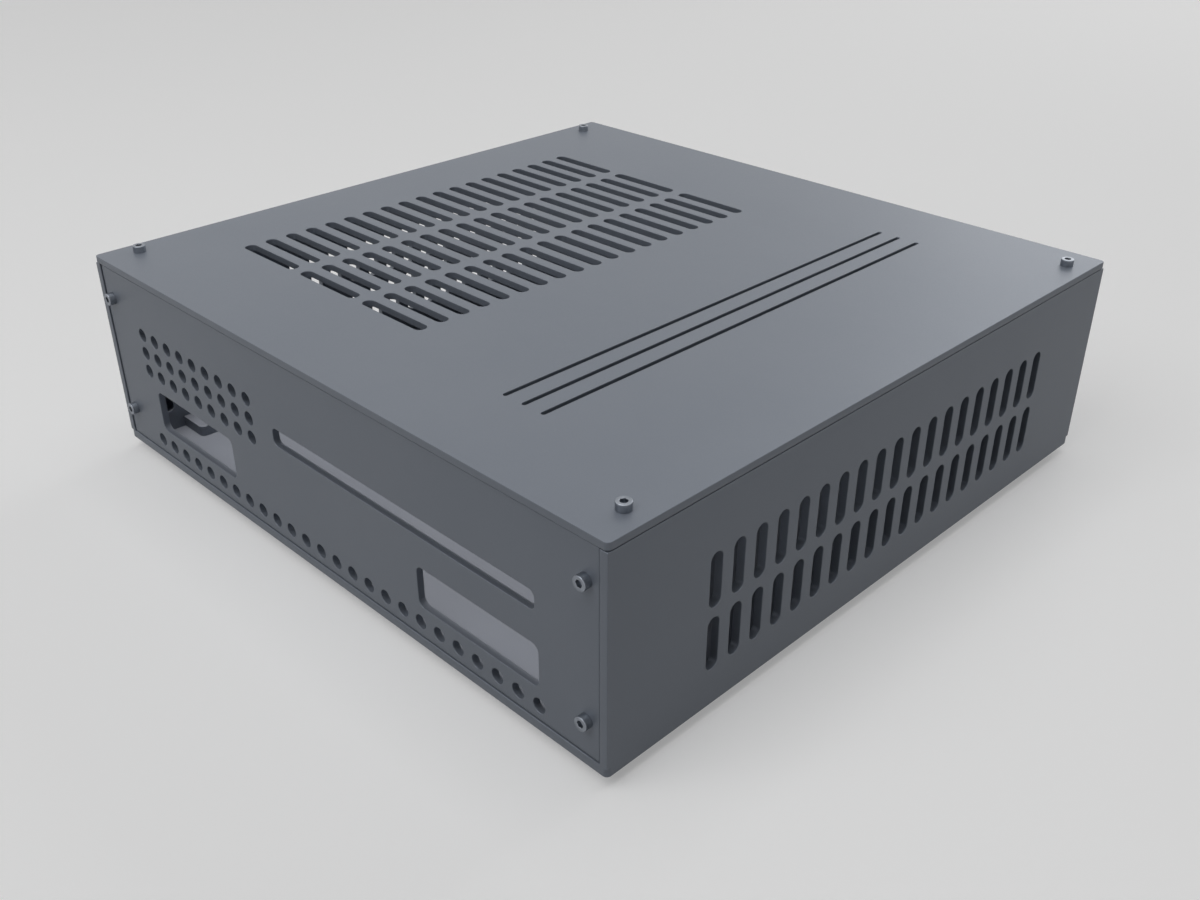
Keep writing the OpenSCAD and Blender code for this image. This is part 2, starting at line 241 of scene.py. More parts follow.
def round_edges(obj, axis, radius, segments, where=lambda middle: True):
    """Rounds the edges that run along one axis, or cuts them off with a single segment."""
    def along(a, b):
        return abs((b - a).normalized()[axis]) > ALONG and where((a + b) / 2)
    pick_edges(obj, along)
    bpy.ops.mesh.bevel(offset=radius, segments=segments, affect="EDGES", clamp_overlap=True)
    return leave_edit(obj)


def soften_rim(obj, level, width, segments=2):
    """Bevels the rim that lies at one height."""
    pick_edges(obj, lambda a, b: abs(a.z - level) < NEAR and abs(b.z - level) < NEAR)
    bpy.ops.mesh.bevel(offset=width, segments=segments, affect="EDGES", clamp_overlap=True)
    return leave_edit(obj)


def round_block(low, high, axis, radius, segments=8):
    """A block whose edges along one axis are rounded."""
    return round_edges(block(low, high), axis, radius, segments)


def apply_last(obj):
    """Applies the modifier that was added last."""
    only(obj)
    bpy.ops.object.modifier_apply(modifier=obj.modifiers[-1].name)


def repeat(obj, count, step):
    """Repeats an object along one direction, evenly about its own place."""
    step = Vector(step)
    move(obj, *(-(count - 1) / 2 * step))
    bpy.ops.object.modifier_add(type="ARRAY")
    array = obj.modifiers[-1]
    array.count = count
    array.use_relative_offset = False
    array.use_constant_offset = True
    array.constant_offset_displace = step
    apply_last(obj)
    return obj


def combine(obj, tool, operation):
    """Joins a tool to an object, cuts it out, or keeps what both share. The tool is used up."""
    only(obj)
    bpy.ops.object.modifier_add(type="BOOLEAN")
    boolean = obj.modifiers[-1]
    boolean.operation = operation
    boolean.solver = "MANIFOLD"
    boolean.object = tool
    apply_last(obj)
    bpy.data.objects.remove(tool)
    return obj


def cut(obj, tool):
    return combine(obj, tool, "DIFFERENCE")


def add(obj, tool):
    return combine(obj, tool, "UNION")


def flatten(obj):
    """Merges the flat faces that the cuts left side by side."""
    only(obj)
    bpy.ops.object.mode_set(mode="EDIT")
    bpy.ops.mesh.select_all(action="SELECT")
    bpy.ops.mesh.remove_doubles(threshold=CLOSE)
    bpy.ops.mesh.dissolve_limited(angle_limit=math.radians(0.5))
    bpy.ops.object.mode_set(mode="OBJECT")
    return obj


def smooth(obj, angle=50):
    """Smooth shading that keeps flat faces flat and edges sharper than the angle crisp."""
    only(obj)
    bpy.ops.object.shade_smooth_by_angle(angle=math.radians(angle))
    bpy.ops.object.modifier_add(type="WEIGHTED_NORMAL")
    obj.modifiers[-1].keep_sharp = True
    apply_last(obj)
    return obj


def convex_edges(obj, sharper_than):
    """The outward edges that are sharper than an angle."""
    mesh = obj.data
    face_on_left = {}
    for face in mesh.polygons:
        corners = face.vertices[:]
        for a, b in zip(corners, corners[1:] + corners[:1]):
            face_on_left[a, b] = face
    found = []
    for edge in mesh.edges:
        a, b = edge.vertices
        left, right = face_on_left[a, b].normal, face_on_left[b, a].normal
        outward = left.cross(right).dot(mesh.vertices[b].co - mesh.vertices[a].co) > 0
        if outward and left.angle(right, 0) > math.radians(sharper_than):
            found.append(edge)
    return found


def slice_at(obj, axis, places):
    """Divides the faces along planes across one axis."""
    normal = Vector((axis == X, axis == Y, axis == Z))
    only(obj)
    bpy.ops.object.mode_set(mode="EDIT")
    for place in places:
        bpy.ops.mesh.select_all(action="SELECT")
        bpy.ops.mesh.bisect(plane_co=normal * place, plane_no=normal, threshold=CLOSE)
    bpy.ops.object.mode_set(mode="OBJECT")
    return obj


def soften(obj, keep=lambda middle: False):
    """Rounds every outward edge of a blank, apart from those that the keep test names."""
    flatten(obj)
    points = obj.data.vertices
    weight = obj.data.attributes.new("bevel_weight_edge", "FLOAT", "EDGE")
    for edge in convex_edges(obj, sharper_than=35):
        a, b = edge.vertices
        weight.data[edge.index].value = 0 if keep((points[a].co + points[b].co) / 2) else 1
    only(obj)
    bpy.ops.object.modifier_add(type="BEVEL")
    bevel = obj.modifiers[-1]
    bevel.width = PLATE_EDGE
    bevel.segments = 2
    bevel.limit_method = "WEIGHT"
    bevel.use_clamp_overlap = False
    apply_last(obj)
    obj.data.attributes.remove(obj.data.attributes["bevel_weight_edge"])
    return obj


def flare(cutter, axis, *walls):
    """Widens a cutter towards the faces of each wall that it passes, so that its rims come out
    round. A wall is two levels of the axis, and a face that the cutter doesn't reach stays as it
    is. The round has two flat stretches, and the outer one runs on a little past the face."""
    step = PLATE_EDGE * (1 - math.sqrt(0.5))
    beyond = PLATE_EDGE / 10
    for low, high in walls:
        slice_at(cutter, axis, (low - beyond, low + step, low + PLATE_EDGE))
        slice_at(cutter, axis, (high - PLATE_EDGE, high - step, high + beyond))

    def depth(point):
        return max(min(point[axis] - low, high - point[axis]) for low, high in walls)
    outermost = PLATE_EDGE + beyond * (1 + math.sqrt(2))
    for reach, amount in ((PLATE_EDGE, step), (step, outermost - step)):
        pick_points(cutter, lambda point: depth(point) < reach - NEAR)
        bpy.ops.transform.shrink_fatten(value=amount, use_even_offset=True)
        bpy.ops.object.mode_set(mode="OBJECT")
    return cutter


def tidy_cuts(obj, levels):
    """Merges what the cuts left in pieces, then divides the flat faces along planes through the
    holes, so that no face runs round one, and shades the part."""
    flatten(obj)
    for axis, places in levels.items():
        slice_at(obj, axis, places)
    return smooth(obj)


# Finishes

def node(tree, kind, inputs=None, **settings):
    """A shader node with its settings and the values or links of its inputs."""
    made = tree.nodes.new(kind)
    for name, value in settings.items():
        setattr(made, name, value)
    for key, value in (inputs or {}).items():
        if isinstance(value, bpy.types.NodeSocket):
            tree.links.new(value, made.inputs[key])
        else:
            made.inputs[key].default_value = value
    return made


def new_finish(name, **values):
    """A material with its Principled shader's own values set, and its Object coordinates."""
    material = bpy.data.materials.new(name)
    material.use_nodes = True
    tree = material.node_tree
    shader = tree.nodes["Principled BSDF"]
    for key, value in values.items():
        shader.inputs[key.replace("_", " ")].default_value = value
    place = node(tree, "ShaderNodeTexCoord").outputs["Object"]
    return material, tree, shader, place


def srgb(r, g, b):
    """A colour as it looks on screen, as the shader wants it."""
    def linear(v):
        return v / 12.92 if v <= 0.04045 else ((v + 0.055) / 1.055) ** 2.4
    return (linear(r), linear(g), linear(b), 1)


def noise(tree, place, scale, detail, rough=0.5):
    """A cloudy pattern with about as many clouds to the metre as its scale."""
    return node(tree, "ShaderNodeTexNoise", {
        "Vector": place, "Scale": scale, "Detail": detail, "Roughness": rough}).outputs["Fac"]


def between(tree, pattern, low, high):
    """Maps a noise, which mostly lies between 0.3 and 0.7, to a range."""
    mapped = node(tree, "ShaderNodeMapRange", {
        "Value": pattern, "From Min": 0.3, "From Max": 0.7, "To Min": low, "To Max": high})
    return mapped.outputs["Result"]


def blend(tree, shader, share, first, second):
    """Blends the shader's colour from two tones."""
    mix = node(tree, "ShaderNodeMix", {"Factor": share, "A": first, "B": second}, data_type="RGBA")
    tree.links.new(mix.outputs["Result"], shader.inputs["Base Color"])


def roughen(tree, shader, pattern, low, high):
    """Lets the roughness drift with a pattern."""
    tree.links.new(between(tree, pattern, low, high), shader.inputs["Roughness"])


def emboss(tree, shader, pattern, strength, height):
    """Gives the surface the relief of a pattern."""
    bump = node(tree, "ShaderNodeBump", {"Height": pattern, "Strength": strength, "Distance": height})
    tree.links.new(bump.outputs["Normal"], shader.inputs["Normal"])


def anodised_case():
    """Blasted and anodised aluminium: satin, with a fine grain and a faint cloudiness."""
    material, tree, shader, place = new_finish("anodised_case", Metallic=0.3)
    cloud = noise(tree, place, scale=9, detail=4, rough=0.6)
    grain = noise(tree, place, scale=2400, detail=3, rough=0.7)
    blend(tree, shader, between(tree, cloud, 0, 1), srgb(0.466, 0.493, 0.535), srgb(0.486, 0.511, 0.551))
    roughen(tree, shader, grain, 0.40, 0.50)
    emboss(tree, shader, grain, strength=0.25, height=0.02 * MM)
    return material


def bright_metal(name, dark, light, rough):
    """Plated steel or turned brass: bright, with a fine grain and small clouds."""
    material, tree, shader, place = new_finish(name, Metallic=1.0)
    cloud = noise(tree, place, scale=350, detail=3)
    grain = noise(tree, place, scale=6000, detail=2)
    blend(tree, shader, between(tree, cloud, 0, 1), dark, light)
    roughen(tree, shader, cloud, rough - 0.06, rough + 0.06)
    emboss(tree, shader, grain, strength=0.2, height=0.01 * MM)
    return material


def moulded_rubber():
    """Black rubber with the dull, fine pebble of its mould."""
    material, tree, shader, place = new_finish("moulded_rubber")
    cloud = noise(tree, place, scale=160, detail=3)
    pebble = node(tree, "ShaderNodeTexVoronoi", {"Vector": place, "Scale": 2600}).outputs["Distance"]
    blend(tree, shader, between(tree, cloud, 0, 1), srgb(0.075, 0.075, 0.08), srgb(0.105, 0.105, 0.11))
    roughen(tree, shader, cloud, 0.68, 0.82)
    emboss(tree, shader, pebble, strength=0.3, height=0.05 * MM)
    return material


CASE = anodised_case()
SCREW = bright_metal("grey_screw_steel", srgb(0.50, 0.52, 0.55), srgb(0.57, 0.59, 0.62), 0.36)
ZINC = bright_metal("bright_zinc", srgb(0.62, 0.64, 0.66), srgb(0.72, 0.74, 0.75), 0.30)
BRASS = bright_metal("turned_brass", srgb(0.72, 0.56, 0.27), srgb(0.80, 0.65, 0.34), 0.30)
RUBBER = moulded_rubber()


def finish_piece(obj, name, material, slot, *nodes):
    """Names a finished piece, gives it its finish and hides the solids that it stands for."""
    obj.name = name
    obj.data.name = name
    obj.data.materials.clear()
    obj.data.materials.append(material)
    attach(obj, BODY)
    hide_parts(*nodes)
    return obj


# Places, from the frame. The posts and feet are alike at both sides and both ends of the case.

def middle_of(node_name):
    """The middle of a solid's box."""
    low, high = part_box(node_name)
    return (low + high) / 2


def spread(middle, pitch, count):
    """The places of a row that stands evenly about its middle."""
    return [middle + (i - (count - 1) / 2) * pitch for i in range(count)]


def both_sides(*levels):
    """Levels below zero and then the same levels above it."""
    return [side * level for side in (-1, 1) for level in levels]


def span(side, near, far):
    """Two levels in rising order, on one side of zero."""
    return sorted((side * near, side * far))


# The tray's levels on its right and towards its rear
TRAY_LOW, TRAY_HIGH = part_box("base_tray")
FLOOR_TOP = TRAY_LOW.z + FLOOR_T
PAD_TOP = FLOOR_TOP + PAD_H
WEB_BASE = TRAY_HIGH.z - WEB_T
INNER_X = TRAY_HIGH.x - WALL_T
POST_X = INNER_X - POST_W
POST_MID_X = INNER_X - POST_W / 2
POST_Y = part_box("rear_panel")[0].y
POST_MID_Y = POST_Y - POST_D / 2

# The middles of one foot and of the standoffs, the heights of the panels' screws, and the side
# and the end of each corner
FOOT = middle_of("foot_rear_right")
BOARD_HOLES = [middle_of("standoff_" + name) for name in CORNERS]
SCREW_LEVELS = [middle_of("front_nut_" + name).z for name in ("lower_left", "upper_left")]
QUARTERS = [(side, end) for side in (-1, 1) for end in (-1, 1)]


# The tray

def tray_blank():
    """The floor, the side walls, the corner posts and the pads over the feet, in one piece."""
    low, high = TRAY_LOW, TRAY_HIGH
    tray = round_block(low, (high.x, high.y, FLOOR_TOP), Z, PLATE_R)
    for side in (-1, 1):
        x = span(side, INNER_X, high.x)
        add(tray, block((x[0], low.y, FLOOR_TOP - SINK), (x[1], high.y, high.z - SEAM)))
    for side, end in QUARTERS:
        x = span(side, POST_X, INNER_X + SINK)
        y = span(end, POST_Y - POST_D, POST_Y)
        add(tray, block((x[0], y[0], FLOOR_TOP - SINK), (x[1], y[1], high.z)))
        x = span(side, FOOT.x - PAD / 2, POST_X + SINK)
        y = span(end, FOOT.y - PAD / 2, FOOT.y + PAD / 2)
        pad = block((x[0], y[0], FLOOR_TOP - SINK), (x[1], y[1], PAD_TOP))
        round_edges(pad, Z, PAD_R, segments=6, where=lambda middle: middle.x * side < FOOT.x)
        add(tray, pad)

    def overhang(middle):
        """The short edges where a wall's square corner stands over the floor's round one."""
        return (abs(middle.z - FLOOR_TOP) < NEAR and abs(middle.x) > high.x - PLATE_R - NEAR
                and abs(middle.y) > high.y - PLATE_R - NEAR)
    return soften(tray, keep=overhang)


def side_slots():
    """The cutter for the slots of both side walls."""
    width, height = SIDE_SLOT
    slot = round_block(
        (TRAY_LOW.x - OVER, -width / 2, SIDE_MID - height / 2),
        (TRAY_HIGH.x + OVER, width / 2, SIDE_MID + height / 2), X, width / 2, segments=10)
    flare(slot, X, (TRAY_LOW.x, -INNER_X), (INNER_X, TRAY_HIGH.x))
    repeat(slot, SIDE_COUNT[0], (0, SIDE_PITCH[0], 0))
    return repeat(slot, SIDE_COUNT[1], (0, 0, SIDE_PITCH[1]))


def nut_window(tray, side, y, z):
    """Cuts a window for a nut into the inner face of a post, between two levels of Y and of Z."""
    x = span(side, POST_X - OVER, POST_X + WINDOW_REACH)
    window = round_block((x[0], y[0], z[0]), (x[1], y[1], z[1]), X, WINDOW_R)
    cut(tray, flare(window, X, span(side, POST_X, TRAY_HIGH.x)))


def post_openings(tray, side, end):
    """Cuts the windows and the screw holes of one post, for the lid and for the panel."""
    across = span(end, POST_MID_Y - WINDOW_W / 2, POST_MID_Y + WINDOW_W / 2)
    nut_window(tray, side, across, (WEB_BASE - LID_WINDOW_H, WEB_BASE))
    bore = rod(CLEAR_D / 2, WEB_BASE - OVER, TRAY_HIGH.z + OVER)
    flare(bore, Z, (TRAY_LOW.z, TRAY_HIGH.z))
    cut(tray, move(bore, side * POST_MID_X, end * POST_MID_Y))
    along = span(end, POST_Y - WEB_T - WINDOW_L, POST_Y - WEB_T)
    for z in SCREW_LEVELS:
        nut_window(tray, side, along, (z - WINDOW_W / 2, z + WINDOW_W / 2))
        bore = rod(CLEAR_D / 2, *span(end, POST_Y - WEB_T - OVER, POST_Y + OVER), axis=Y)
        flare(bore, Y, span(end, POST_Y - POST_D, POST_Y))
        cut(tray, move(bore, side * POST_MID_X, 0, z))


def floor_hole(tray, x, y, top):
    """Cuts a screw hole through the floor, and through what stands on it up to a level."""
    hole = flare(rod(HOLE_D / 2, TRAY_LOW.z - OVER, top + OVER), Z, (TRAY_LOW.z, top))
    cut(tray, move(hole, x, y))


def base_tray():
    """The blank with its wall slots, nut windows and screw holes."""
    tray = tray_blank()
    cut(tray, side_slots())
    for side, end in QUARTERS:
        post_openings(tray, side, end)
        floor_hole(tray, side * FOOT.x, end * FOOT.y, PAD_TOP)
    for place in BOARD_HOLES:
        floor_hole(tray, place.x, place.y, FLOOR_TOP)
    columns = both_sides(POST_MID_X, FOOT.x) + [place.x for place in BOARD_HOLES]
    rows = both_sides(POST_MID_Y, FOOT.y) + [place.y for place in BOARD_HOLES]
    rows += spread(0, SIDE_PITCH[0], SIDE_COUNT[0])
    heights = spread(SIDE_MID, SIDE_PITCH[1], SIDE_COUNT[1]) + SCREW_LEVELS + [WEB_BASE - LID_WINDOW_H / 2]
    tidy_cuts(tray, {X: columns, Y: rows, Z: heights})
    finish_piece(tray, "tray_shell", CASE, "case_metal", "base_tray")


# The panels and the lid

def through(panel_box, x, z, width, height, radius, segments=8, where=lambda middle: True):
    """A cutter for an opening in a panel, with round corners or, with one segment, cut-off ones."""
    low, high = panel_box
    cutter = block((x - width / 2, low.y - OVER, z - height / 2),
                   (x + width / 2, high.y + OVER, z + height / 2))
    return flare(round_edges(cutter, Y, radius, segments, where), Y, (low.y, high.y))


def through_hole(panel_box, x, z, diameter):
    """A cutter for a round hole in a panel."""
    low, high = panel_box
    cutter = flare(rod(diameter / 2, low.y - OVER, high.y + OVER, axis=Y), Y, (low.y, high.y))
    return move(cutter, x, 0, z)


def vents(panel_box, z, columns, rows):
    """Rows of round vents, counted from the left end of a full row."""
    first = (columns - VENT_ROW) / 2 * VENT_PITCH[0]
    hole = through_hole(panel_box, first, z, VENT_D)
    return repeat(repeat(hole, columns, (VENT_PITCH[0], 0, 0)), rows, (0, 0, VENT_PITCH[1]))


def panel_blank(kind):
    """A panel without its openings, smaller than its solid by the play of the seam."""
    low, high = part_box(kind + "_panel")
    play = Vector((SEAM, 0, SEAM))
    return soften(block(low + play, high - play))


def screw_holes(panel, kind):
    """Cuts the holes for a panel's own screws."""
    for name in PANEL_ENDS:
        x, y, z = middle_of(f"{kind}_screw_{name}")
        cut(panel, through_hole(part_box(kind + "_panel"), x, z, CLEAR_D))


def panel_levels(kind, rows):
    """The planes through a panel's vents and screws."""
    screw_x = middle_of(kind + "_screw_upper_right").x
    return {X: spread(0, VENT_PITCH[0], VENT_ROW) + both_sides(screw_x), Z: rows + SCREW_LEVELS}


def front_panel():
    """A row and a block of vents, two cut-outs and one long slot."""
    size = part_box("front_panel")
    panel = panel_blank("front")
    cut(panel, vents(size, VENT_ROW_Z, VENT_ROW, 1))
    cut(panel, vents(size, BLOCK_Z, *BLOCK_COUNT))
    for opening in (LEFT_CUTOUT, RIGHT_CUTOUT, LONG_SLOT):
        cut(panel, through(size, *opening))
    screw_holes(panel, "front")
    rows = [VENT_ROW_Z, LEFT_CUTOUT[1]] + spread(BLOCK_Z, VENT_PITCH[1], BLOCK_COUNT[1])
    tidy_cuts(panel, panel_levels("front", rows))
    finish_piece(panel, "front_plate", CASE, "case_metal", "front_panel")


def rear_panel():
    """Three rows of vents, and the openings for connectors and for a mains inlet."""
    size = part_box("rear_panel")
    panel = panel_blank("rear")
    cut(panel, vents(size, REAR_VENT_Z, VENT_ROW, REAR_VENT_ROWS))
    cut(panel, through(size, *CONNECTORS))
    x, z = INLET[:2]
    cut(panel, through(size, *INLET, segments=1, where=lambda middle: middle.z < z))
    for side in (-1, 1):
        cut(panel, through_hole(size, x + side * INLET_SPAN / 2, z, CLEAR_D))
    screw_holes(panel, "rear")
    rows = spread(REAR_VENT_Z, VENT_PITCH[1], REAR_VENT_ROWS) + [z]
    tidy_cuts(panel, panel_levels("rear", rows))
    finish_piece(panel, "rear_plate", CASE, "case_metal", "rear_panel")


def lid_slot(size, place, segments):
    """A cutter for one slot in the lid, with round ends."""
    low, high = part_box("lid")
    x, y = size
    slot = round_block(
        (-x / 2, -y / 2, low.z - OVER), (x / 2, y / 2, high.z + OVER), Z, min(x, y) / 2, segments)
    return move(flare(slot, Z, (low.z, high.z)), *place)


def lid():
    """A plate with a field of slots and three narrow strips cut through it."""
    low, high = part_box("lid")
    plate = soften(round_block(low, high, Z, PLATE_R))
    slots = repeat(lid_slot(LID_SLOT, LID_FIELD, segments=10), LID_COUNT[0], (LID_PITCH[0], 0, 0))
    cut(plate, repeat(slots, LID_COUNT[1], (0, LID_PITCH[1], 0)))
    strip = lid_slot(STRIP, STRIP_FIELD, segments=6)
    cut(plate, repeat(strip, STRIP_COUNT, (STRIP_PITCH, 0, 0)))
    screws = [middle_of("lid_screw_" + name) for name in CORNERS]
    for place in screws:
        hole = flare(rod(CLEAR_D / 2, low.z - OVER, high.z + OVER), Z, (low.z, high.z))
        cut(plate, move(hole, place.x, place.y))
    columns = spread(LID_FIELD[0], LID_PITCH[0], LID_COUNT[0])
    columns += spread(STRIP_FIELD[0], STRIP_PITCH, STRIP_COUNT)
    rows = spread(LID_FIELD[1], LID_PITCH[1], LID_COUNT[1])
    tidy_cuts(plate, {X: columns + [place.x for place in screws], Y: rows + [place.y for place in screws]})
    finish_piece(plate, "lid_plate", CASE, "case_metal", "lid")


base_tray()
front_panel()
rear_panel()
lid()


# Screws, nuts, feet and standoffs. Each is made once, hanging below Z zero with its outer end up.

def hex_bar(across, low, high):
    """A six-sided bar along Z with two of its corners on the X axis."""
    bar = rod(across / math.sqrt(3), low, high, sides=6, name="hex_bar")
    bar.rotation_euler = (0, 0, math.pi / 6)
    return settle(bar)


def ridge(start, turns):
    """The ridge of a thread, which winds up from a level and narrows towards its crest."""
    bpy.ops.object.select_all(action="DESELECT")
    bpy.ops.mesh.primitive_plane_add(size=1)
    obj = bpy.context.object
    obj.name = "ridge"
    obj.rotation_euler = (math.pi / 2, 0, 0)
    obj.scale = (RIDGE_W, RIDGE_H, 1)
    obj.location = (SCREW_D / 2 - RIDGE_W / 2, 0, start)
    settle(obj)
    pick_points(obj, lambda point: point.x > SCREW_D / 2 - RIDGE_W / 2)
    bpy.ops.transform.resize(value=(1, 1, CREST_SHARE))
    bpy.ops.mesh.select_all(action="SELECT")
    bpy.ops.mesh.delete(type="ONLY_FACE")
    bpy.ops.object.mode_set(mode="OBJECT")
    only(obj)
    bpy.ops.object.modifier_add(type="SCREW")
    winding = obj.modifiers[-1]
    winding.axis = "Z"
    winding.screw_offset = THREAD_PITCH
    winding.iterations = turns
    winding.steps = winding.render_steps = THREAD_SIDES
    apply_last(obj)
    bpy.ops.object.mode_set(mode="EDIT")
    bpy.ops.mesh.select_all(action="SELECT")
    bpy.ops.mesh.fill_holes(sides=0)
    bpy.ops.mesh.select_all(action="SELECT")
    bpy.ops.mesh.normals_make_consistent(inside=False)
    bpy.ops.object.mode_set(mode="OBJECT")
    return obj


def thread(tip, top):
    """A threaded shank with a bevelled tip: a core and its ridge, trimmed at both ends."""
    turns = math.ceil((top - tip) / THREAD_PITCH) + 1
    core = rod(CORE_D / 2, tip - OVER, top + OVER, sides=THREAD_SIDES)
    shank = add(core, ridge(tip - THREAD_PITCH / 2, turns))
    sleeve = rod(SCREW_D / 2 + PAST, tip, top)
    return combine(shank, soften_rim(sleeve, tip, TIP_EDGE, segments=1), "INTERSECT")


def countersink(piece, radius, depth, sides=32):
    """Widens the hole at the outer end by a cone of 45 degrees with this radius at the face."""
    return cut(piece, rod(radius - depth, -depth, PAST, sides=sides, tip_radius=radius + PAST))


def hex_socket(screw, across, depth, point_depth, point_radius, mouth_radius, mouth_depth):
    """Cuts a hexagon socket with a drilled point below and a countersunk mouth."""
    cut(screw, hex_bar(across, -depth, OVER))
    cut(screw, rod(0, -depth - point_depth, -depth + PAST, tip_radius=point_radius))
    return countersink(screw, mouth_radius, mouth_depth, sides=FINE_SIDES)


def cap_screw():
    """A cap screw with a hexagon socket."""
    screw = rod(HEAD_D / 2, -HEAD_H, 0, sides=FINE_SIDES, name="cap_screw")
    soften_rim(screw, 0, HEAD_EDGE)
    soften_rim(screw, -HEAD_H, FINE_EDGE)
    hex_socket(screw, *CAP_SOCKET)
    return add(screw, thread(-HEAD_H - SCREW_L, -HEAD_H + ROOT))


def domed_screw():
    """A screw with a low domed head and a hexagon socket."""
    radius = (DOME_D ** 2 / 4 + DOME_H ** 2) / (2 * DOME_H)
    bpy.ops.object.select_all(action="DESELECT")
    bpy.ops.mesh.primitive_uv_sphere_add(
        segments=FINE_SIDES, ring_count=30, radius=radius, location=(0, 0, -radius))
    screw = settle(bpy.context.object)
    screw.name = "domed_screw"
    bpy.ops.object.mode_set(mode="EDIT")
    bpy.ops.mesh.select_all(action="SELECT")
    bpy.ops.mesh.bisect(plane_co=(0, 0, -DOME_H), plane_no=(0, 0, 1), clear_inner=True, use_fill=True)
    bpy.ops.object.mode_set(mode="OBJECT")
    soften_rim(screw, -DOME_H, FINE_EDGE)
    hex_socket(screw, *DOME_SOCKET)
    return add(screw, thread(-DOME_H - SCREW_L, -DOME_H + ROOT))


def chamfered_hex(across, height, name):
    """A six-sided piece whose corners are taken down to a cone at both ends."""
    piece = hex_bar(across, -height, 0)
    piece.name = name
    slope = math.sqrt(3) * height
    face = across / 2 * CORNER_SHARE
    combine(piece, rod(face + slope, -height, 0, sides=FINE_SIDES, tip_radius=face), "INTERSECT")
    return combine(piece, rod(face, -height, 0, sides=FINE_SIDES, tip_radius=face + slope), "INTERSECT")


def hex_nut():
    """A nut with chamfered corners and a bore that is countersunk at both ends."""
    nut = chamfered_hex(NUT_AF, NUT_T, "hex_nut")
    bore = HOLE_D / 2
    cut(nut, rod(bore, -NUT_T - OVER, OVER))
    countersink(nut, bore + NUT_RIM, 2 * NUT_RIM)
    lower = rod(bore + 2 * NUT_RIM, -NUT_T - NUT_RIM, -NUT_T + 2 * NUT_RIM, tip_radius=bore - NUT_RIM)
    return cut(nut, lower)


def rubber_foot():
    """A round foot that widens towards the tray, with a recess for its screw."""
    foot = rod(FOOT_D / 2, -FOOT_H, 0, sides=64, name="rubber_foot", tip_radius=FOOT_TIP_D / 2)
    soften_rim(foot, 0, FOOT_EDGE, segments=3)
    soften_rim(foot, -FOOT_H, FINE_EDGE)
    recess = rod(RECESS_D / 2, -RECESS_H, OVER, sides=FINE_SIDES)
    cut(foot, soften_rim(recess, -RECESS_H, RECESS_EDGE))
    cut(foot, rod(CLEAR_D / 2, -FOOT_H - OVER, OVER))
    return countersink(foot, RECESS_D / 2 + RECESS_EDGE, 2 * RECESS_EDGE, sides=FINE_SIDES)


def standoff():
    """A six-sided pillar with a threaded hole above and a threaded stud below."""
    pillar = chamfered_hex(STANDOFF_AF, STANDOFF_H, "standoff")
    cut(pillar, thread(-STANDOFF_BORE_H, OVER))
    countersink(pillar, *STANDOFF_MOUTH)
    return add(pillar, thread(-STANDOFF_H - STUD_L, -STANDOFF_H + ROOT))


def place_copies(master, tilt, name, kind, ends, material, slot):
    """Puts copies of a master where the solids of one kind stand, turned about X by the tilt. The
    inner ends of both are at the same level."""
    outward = Vector((0, -math.sin(tilt), math.cos(tilt)))
    tidy_cuts(master, {})
    length = -min(point.co.z for point in master.data.vertices)
    for end in ends:
        low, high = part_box(f"{kind}_{end}")
        only(master)
        bpy.ops.object.duplicate()
        piece = bpy.context.object
        piece.rotation_euler = (tilt, 0, 0)
        piece.location = (low + high) / 2 + outward * (length - abs(outward.dot(high - low)) / 2)
        finish_piece(settle(piece), f"{name}_{end}", material, slot, f"{kind}_{end}")
    bpy.data.objects.remove(master)


def fasteners():
    """The screws and nuts of the lid and the panels."""
    for part, tilt, ends in (
            ("lid", 0, CORNERS),
            ("front", math.pi / 2, PANEL_ENDS),
            ("rear", -math.pi / 2, PANEL_ENDS)):
        place_copies(cap_screw(), tilt, f"{part}_cap_screw", f"{part}_screw", ends, SCREW, "screw_steel")
        place_copies(hex_nut(), tilt, f"{part}_hex_nut", f"{part}_nut", ends, ZINC, "nut_steel")


def feet_and_standoffs():
    place_copies(rubber_foot(), math.pi, "rubber_foot", "foot", CORNERS, RUBBER, "foot_rubber")
    place_copies(domed_screw(), math.pi, "domed_screw", "foot_screw", CORNERS, SCREW, "screw_steel")
    place_copies(standoff(), 0, "board_standoff", "standoff", CORNERS, BRASS, "standoff_brass")


fasteners()
feet_and_standoffs()


# The stage

FLOOR_SIZE = 40
FLOOR_Z = -MM / 20  # just below the feet, which stand at zero
FLOOR_TONES = (srgb(0.48, 0.48, 0.48), srgb(0.86, 0.86, 0.86))  # as it lights, and as it is seen
FLOOR_FADE = (0.5, 6)  # the distances between which the floor pales
FLOOR_GLOW = (0.29, 0.86)  # its glow at each of them
SKY_GLOW = (0.06, 0.92)  # what the sky lights with, and what is seen of it
AIM = Vector((0, 0, 0.05))

# The soft boxes: the name, the place, the width, the power and the angle of the beam
SOFT_BOXES = (
    ("soft_box_top", (0, 0.001, 5), 4, 64, math.pi),
    ("soft_box_rear", (-0.2, 1.9, 0.9), 1.4, 3.2, 1.8),
    ("soft_box_front", (-0.2, -1.34, 1.66), 1.4, 11.8, math.pi))

# A faint strip under the lid shows the floor inside through the front's openings: its place, size,
# power and beam
UNDER_LID = ((-0.005, -0.117, 0.089), (0.276, 0.068), 0.079, 0.4)
UNDER_LID_COLOUR = (1, 0.93, 0.88)

# The camera, as it was fitted to the straight edges of the box in the photograph
CAMERA_PLACE = (0.36436, -0.36252, 0.29551)
CAMERA_LOOK = (-0.6124, 0.6124, -0.5)
CAMERA_LENS = 37.09
CAMERA_SENSOR = 36
CAMERA_NEAR = 0.01


